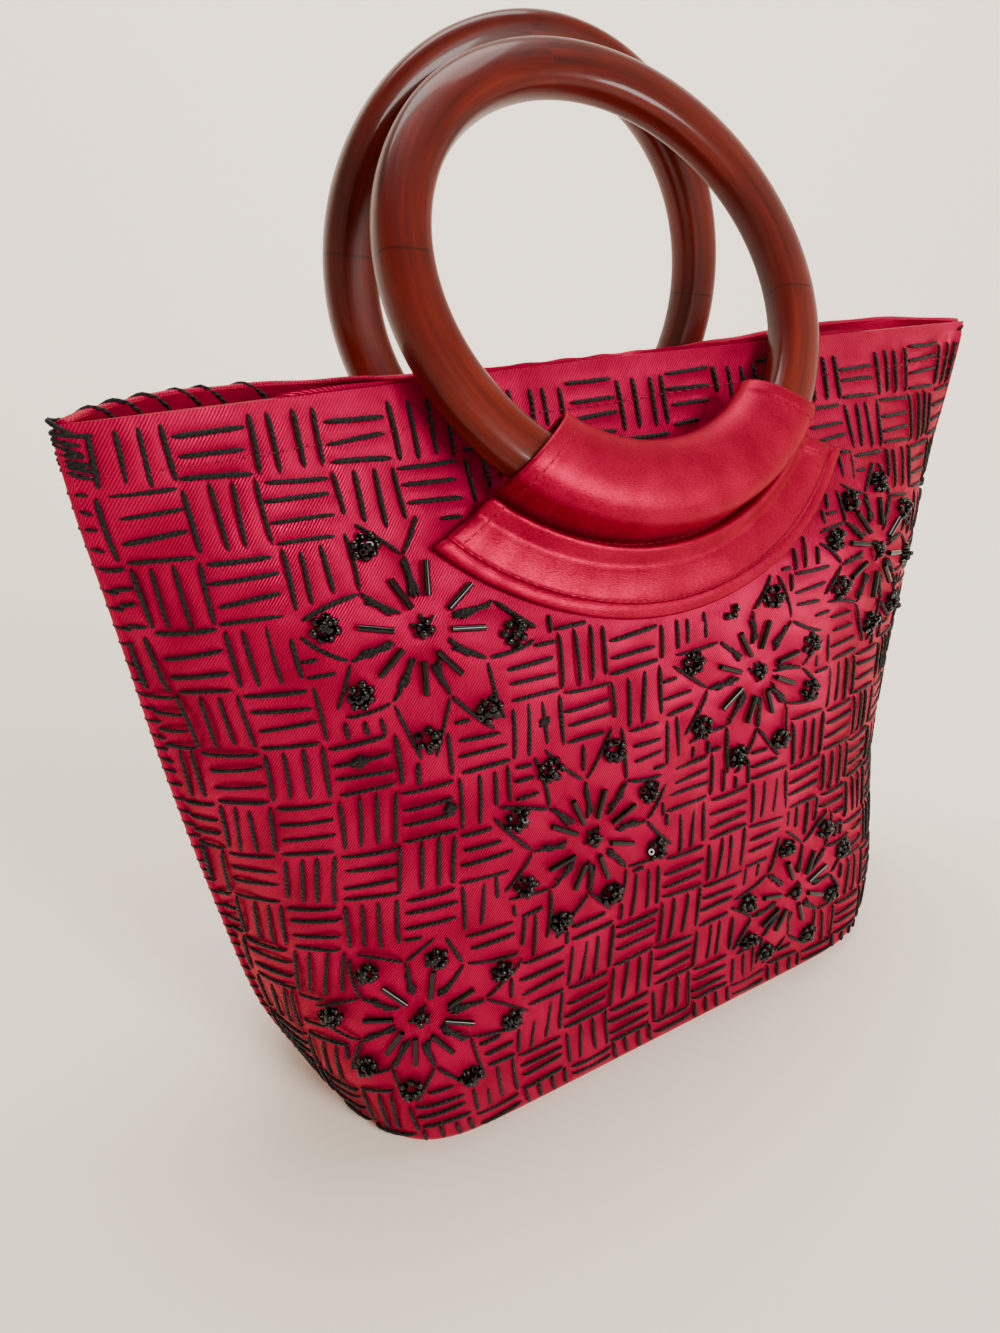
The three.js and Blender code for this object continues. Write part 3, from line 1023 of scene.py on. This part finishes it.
def seatTable(side):
    # how far out from the ring's plane the panel lies, for each radius and angle
    mesh, box = gridMesh("seat", 160, 120)
    setVertices(mesh, panelPoints(side, box[:, 0] * 2 - 1, box[:, 1]))
    tree = rayTree(mesh)
    bpy.data.meshes.remove(mesh)
    radii = np.arange(seat["radii"][0], seat["radii"][1] + 1)
    angles = np.arange(-seat["halfAngle"], seat["halfAngle"] + 1)
    deepest = -(ring["thickness"] / 2 + casing["slip"] + casing["cloth"] + casing["seatGap"])
    table = np.full((len(radii), len(angles)), deepest)
    for i, radius in enumerate(radii):
        for j, angle in enumerate(angles):
            distance = castIn(tree, side, radius, angle)[0][3]
            if distance is not None:
                table[i, j] = seat["start"] - distance / mm
    return table


seats = {side: seatTable(side) for side in sides}


def seatAt(side, radius, angle):
    return readTable(seats[side], radius - seat["radii"][0], angle + seat["halfAngle"])


def sleevePoint(degrees):
    # the cloth's section round the ring
    along, height = boxy(math.radians(degrees), casing["sleevePower"])
    outward = ring["width"] / 2 + casing["slip"] + casing["cloth"]
    along *= outward if along > 0 else ringMiddle - foldRadius
    return ringMiddle + along, height * (ring["thickness"] / 2 + casing["slip"] + casing["cloth"])


def casingKnots():
    # the cloth's section from the flap's lower edge, up over the ridge and round the ring, and down behind
    # it: radius, height over the ring's plane, height over the panel, and 1 where the panel carries it
    flap = ((0, 1), (-0.5, 2), (-2, 2.5), (-3.6, 2.35), (-4.4, 1.9), (-5.4, 2.3), (-9, 2.55), (-12, 2.5))
    ridge = ((4, 2.5), (2.2, 4), (0.6, 5.4), (-0.9, 4.9), (-2.2, 1.2))
    behind = (ringMiddle + 4, ringMiddle + 8, ridgeRadius - 3.4)
    knots = [(edgeRadius + out, 0, lift, 1) for out, lift in flap]
    knots += [(ridgeRadius + out, 0, lift, 1) for out, lift in ridge]
    sleeve = (22, 45, 67, 90, 112, 135, 158, 180, 202, 225, 250)
    knots += [(*sleevePoint(degrees), 0, 0) for degrees in sleeve]
    return knots + [(radius, 0, 0.2, 1) for radius in behind]


def casingPiece(side):
    which = handles[side]["name"]
    samples = casing["samples"]
    mesh, grid = gridMesh(which + "Casing", casing["stations"], samples - 1)
    curve = smoothCurve(casingKnots(), samples)
    row = np.rint(grid[:, 1] * (samples - 1)).astype(int)
    radius, plane, lift, carried = curve[row].T
    carried = np.clip(carried, 0, 1)
    share = grid[:, 0] * 2 - 1
    half = casingHalfAngle(radius)
    angle = casing["turn"] + half * share
    fromEnd = (1 - np.abs(share)) * np.radians(half) * radius
    hemmed = easeIn((casing["hemWidth"] - fromEnd) / 0.8) * casing["hemHeight"]
    # fine gathers on the left, and slow unevenness everywhere
    gathers = 0.08 * np.sin(angle * 1.1 + radius / 6) * easeIn((-share - 0.15) / 0.5)
    gathers += 0.12 * np.sin(angle * 0.23 + radius / 5 + 1.3 * np.sin(angle / 9))
    seated = seatAt(side, radius, angle) + casing["seatGap"]
    onPanel = seated + lift + (hemmed + gathers) * easeIn((lift - 0.5) / 1.2)
    onSleeve = np.maximum(plane, np.where(plane < 0, seated, plane))
    onSleeve += (hemmed * 0.6 + gathers * 0.5) * (plane > 1)
    height = onPanel * carried + onSleeve * (1 - carried)
    turn = np.radians(angle)
    placeByRing(mesh, side, np.stack([radius * np.sin(turn), side * height, -radius * np.cos(turn)], -1))
    lengths = distances(np.stack([curve[:, 0], curve[:, 1] + curve[:, 2]], -1))
    setFlatUv(mesh, turn * (ridgeRadius * mm), lengths[row] * mm)
    piece = addPiece(mesh, "plainSatin", 70)
    wall = piece.modifiers.new("cloth", "SOLIDIFY")
    wall.thickness = casing["wall"] * mm
    wall.offset = -1
    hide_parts(which + "_casing")
    return piece


casings = {side: casingPiece(side) for side in sides}
print("casings made")


rim = {"inset": 1.85, "halfWidth": 1.95, "halfHeight": 1.15, "drop": 0.35, "unevenness": 0.18}
seamSize = {"low": 0.006, "reach": 0.985, "halfWidth": 1.35, "halfDepth": 1.5}


def closedTube(mesh, points, across, down):
    # gives a grid the shape of a tube whose long edges meet and whose ends draw to points
    setVertices(mesh, points)
    setFlatUv(mesh, across, down)
    bm = bmesh.new()
    bm.from_mesh(mesh)
    bmesh.ops.remove_doubles(bm, verts=bm.verts, dist=1e-6)
    bmesh.ops.recalc_face_normals(bm, faces=bm.faces)
    bm.to_mesh(mesh)
    bm.free()
    return addPiece(mesh, "satin", 80)


def tubeEnds(turn):
    # the tube's width, from -1 at one end to 1 at the other
    return np.sqrt(np.clip(1 - np.abs(turn) ** 60, 0, 1))


def rimFold(side):
    # the folded edge of the mouth, which closes the panel to its facing
    mesh, grid = gridMesh(handles[side]["name"] + "RimFold", 200, 12)
    turn, around = grid[:, 0] * 2 - 1, grid[:, 1] * 2 * math.pi
    top = np.ones_like(turn)
    middle = panelPoints(side, turn, top, rim["inset"])
    outward = unit(panelPoints(side, turn, top) - middle)
    ends = tubeEnds(turn)
    points = middle + outward * (np.cos(around) * rim["halfWidth"] * mm * ends)[:, None]
    across = flatOf(side, turn, top)[0]
    rise = np.sin(around) * rim["halfHeight"] * ends - rim["drop"]
    points[:, 2] += (rise + rim["unevenness"] * np.sin(across / mm / 4.1)) * mm
    closedTube(mesh, points, across, around * 2 * mm)


def seamLine(end, height):
    x = column("width", height) * bag["rimWidth"] / 2
    return np.stack([end * x, bag["seamLean"] * height, height * bag["height"]], -1)


def seamEdge(end, name):
    # the sewn edge that stands out along a side seam
    mesh, grid = gridMesh(name + "SeamEdge", 150, 12)
    height = seamSize["low"] + grid[:, 0] * seamSize["reach"]
    around = grid[:, 1] * 2 * math.pi
    points = seamLine(end, height)
    ends = tubeEnds(grid[:, 0] * 2 - 1)
    points[:, 0] += end * np.cos(around) * seamSize["halfWidth"] * ends
    points[:, 1] += np.sin(around) * seamSize["halfDepth"] * ends
    piece = closedTube(mesh, points * mm, around * 2 * mm, height * bag["height"] * mm)
    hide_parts(name + "_seam")


# Stitches over a seam: how far they reach on each side, how much they slant, and how far apart they are
overcasting = {
    "loose": {"reach": (1.8, 2.6), "slant": 1, "step": (3.6, 6), "radius": 0.5},
    "close": {"reach": (3, 8), "slant": 1.5, "step": (1.1, 1.7), "radius": 0.62},
}


def overcast(end, name):
    # black stitches over the side seam; the left corner of the mouth is bound closely
    paths, ups, radii = [], [], []
    level = 4
    while level < bag["height"] - 0.8:
        kind = overcasting["close" if end < 0 and level > bag["height"] - 15 else "loose"]
        wide = random.uniform(*kind["reach"])
        rise = random.uniform(0.5, 2.2) * kind["slant"]
        top = seamLine(end, np.array(level / bag["height"])) + np.array([end * 1.25, 0, rise * 0.5])
        arms = {}
        for side in sides:
            ends = flatCloth[side]["ends"]
            arms[side] = []
            for share, lift in ((0.5, 0.45), (1, -0.6)):
                down = bag["height"] - level - side * rise * 0.5 * share
                across = 0.3 + wide * share
                if end > 0:
                    across = np.interp(down, np.arange(len(ends)), ends) / mm - across
                arms[side].append(onCloth(side, across, down, lift)[0] / mm)
        path = smoothCurve([*arms[front][::-1], top, *arms[back]], thread["stations"])
        paths.append(path * mm)
        ups.append(path - path.mean(0) + np.array([end * 6, 0, 0]))
        radii.append(kind["radius"])
        level += random.uniform(*kind["step"])
    addPiece(makeThreads(name + "SeamStitches", np.array(paths), unit(ups), radii), "thread", 80)


def runningStitches(line, length=2.3, gap=0.8):
    # cuts a line of points into short stitches
    along = distances(line)
    starts = np.arange(0.5, along[-1] - length, length + gap)
    return resample(starts[:, None] + stationShares * length, along, line)


sewing = {"radius": 0.17, "hemDown": 11.8, "fromEdge": 4.4, "fromEnd": 4.2}


def hemStitches(side):
    # the facing is caught to the panel a little below the mouth
    end = flatCloth[side]["ends"][round(sewing["hemDown"])] / mm
    across = np.linspace(3, end - 3, 400)
    lines = runningStitches(np.stack([across, sewing["hemDown"] + 0.5 * np.sin(across / 17)], -1))
    lines = lines[~underCasing(side, onCloth(side, lines[..., 0], lines[..., 1])[0]).any(1)]
    mesh = layStitches(handles[side]["name"] + "HemStitches", side, lines, sewing["radius"], 0.55, -0.1)
    addPiece(mesh, "sewing", 80)


def casingStitches(side):
    # topstitching along the flap's edge, in the valley under the sleeve and beside both slanted ends
    tree = rayTree(casings[side].data)
    lines = []
    for radius in (edgeRadius - sewing["fromEdge"], ridgeRadius - 2.2):
        half = casingHalfAngle(radius) - 3
        lines.append([(radius, casing["turn"] + half * share) for share in np.linspace(-1, 1, 90)])
    for end in (-1, 1):
        radii = np.linspace(foldRadius + 6, edgeRadius - 5, 60)
        half = casingHalfAngle(radii) - np.degrees(sewing["fromEnd"] / radii)
        lines.append(list(zip(radii, casing["turn"] + end * half)))
    paths, ups = [], []
    for line in lines:
        points, normals = [], []
        for radius, angle in line:
            (spot, normal, _, _), inward = castIn(tree, side, radius, angle)
            if spot is not None:
                points.append(spot)
                normals.append(normal if normal.dot(inward) < 0 else -normal)
        both = runningStitches(np.concatenate([np.array(points) / mm, np.array(normals)], 1), 2.1, 0.7)
        rise = 0.12 - 0.3 * np.abs(2 * stationShares - 1) ** 6
        paths.append((both[..., :3] + both[..., 3:] * rise[:, None]) * mm)
        ups.append(both[..., 3:])
    name = handles[side]["name"] + "CasingStitches"
    addPiece(makeThreads(name, np.concatenate(paths), np.concatenate(ups), sewing["radius"]), "sewing", 80)


# A loop over the rim: share of its length, distance below the rim, and height over the cloth
loop = ((0, 2.5, -0.6), (0.3, 0.5, 0.3), (0.55, -0.9, -1.6), (0.8, 0.8, -3.7), (1, 4, -3.9))


def rimLoops():
    # loose black stitches over the back's rim beside the left corner
    paths, ups = [], []
    across = 4
    while across < 50:
        length = random.uniform(12, 15)
        knots = []
        for share, down, lift in loop:
            spot = onCloth(back, across + share * length, max(down, 0), lift)[0]
            knots.append(spot / mm - np.array([0, 0, min(down, 0)]))
        path = smoothCurve(knots, thread["stations"])
        paths.append(path * mm)
        ups.append(np.array([0, 0, 1]) + (path - path.mean(0)) * 0.2)
        across += random.uniform(7, 11)
    addPiece(makeThreads("rimLoops", np.array(paths), unit(ups), 0.66), "thread", 80)


for side in sides:
    rimFold(side)
    hemStitches(side)
    casingStitches(side)
rimLoops()
for end, name in ((-1, "left"), (1, "right")):
    seamEdge(end, name)
    overcast(end, name)
print("seams sewn")


stage = {"flatRadius": 0.85, "bendRadius": 0.7, "reach": 4}


def floorAndLight():
    # a pale floor that sweeps up into a wall all round the bag
    bm = bmesh.new()
    bmesh.ops.create_grid(bm, x_segments=96, y_segments=60, size=0.5)
    flat, radius = stage["flatRadius"], stage["bendRadius"]
    for vertex in bm.verts:
        turn, along = vertex.co.x * 2 * math.pi, (vertex.co.y + 0.5) * stage["reach"]
        angle = min(max(along - flat, 0) / radius, math.pi / 2)
        reach = min(along, flat) + radius * math.sin(angle)
        rise = radius * (1 - math.cos(angle)) + max(along - flat - radius * math.pi / 2, 0)
        vertex.co = (reach * math.cos(turn), reach * math.sin(turn), rise)
    mesh = meshFrom(bm, "floor", 1e-5)
    mesh.shade_smooth()
    mesh.materials.append(newMaterial("paleFloor", {"Base Color": linear("#f6ede4"), "Roughness": 0.8})[0])
    floor = bpy.data.objects.new("floor", mesh)
    bpy.context.scene.collection.objects.link(floor)
    world = bpy.data.worlds.new("studio")
    world.use_nodes = True
    background = world.node_tree.nodes["Background"]
    background.inputs["Color"].default_value = linear("#f3f1ec")
    background.inputs["Strength"].default_value = 0.1
    bpy.context.scene.world = world
    lamps = [
        ("keyLight", (0.3, -0.98, 0.6), (0, 0, 0.12), 0.36, 13.5, "#fffaf4"),
        ("topLight", (0.2, 0.1, 1.3), (0, 0, 0.12), 0.6, 1, "#ffffff"),
        ("wallLight", (0.2, 0.4, 1.5), (0.75, 1.3, 0.4), 1, 36, "#fffdf6"),
    ]
    for name, place, target, size, energy, tint in lamps:
        data = bpy.data.lights.new(name, "AREA")
        data.shape = "SQUARE"
        data.size = size
        data.energy = energy
        data.color = linear(tint)[:3]
        lamp = bpy.data.objects.new(name, data)
        lamp.location = place
        lamp.rotation_euler = (Vector(target) - Vector(place)).to_track_quat("-Z", "Y").to_euler()
        bpy.context.scene.collection.objects.link(lamp)


def photoCamera():
    # fitted to the photograph: focal length and height are in its pixels, the sensor in millimetres
    sensor, focal, height = 36, 898, 1333
    data = bpy.data.cameras.new("camera")
    data.sensor_fit = "VERTICAL"
    data.sensor_height = sensor
    data.lens = sensor * focal / height
    data.clip_start = 0.01
    camera = bpy.data.objects.new("camera", data)
    camera.location = (-0.15777, -0.21485, 0.27143)
    camera.rotation_euler = Vector((0.4193, 0.7628, -0.4922)).to_track_quat("-Z", "Y").to_euler()
    bpy.context.scene.collection.objects.link(camera)
    bpy.context.scene.camera = camera


floorAndLight()
photoCamera()
print("stage set")
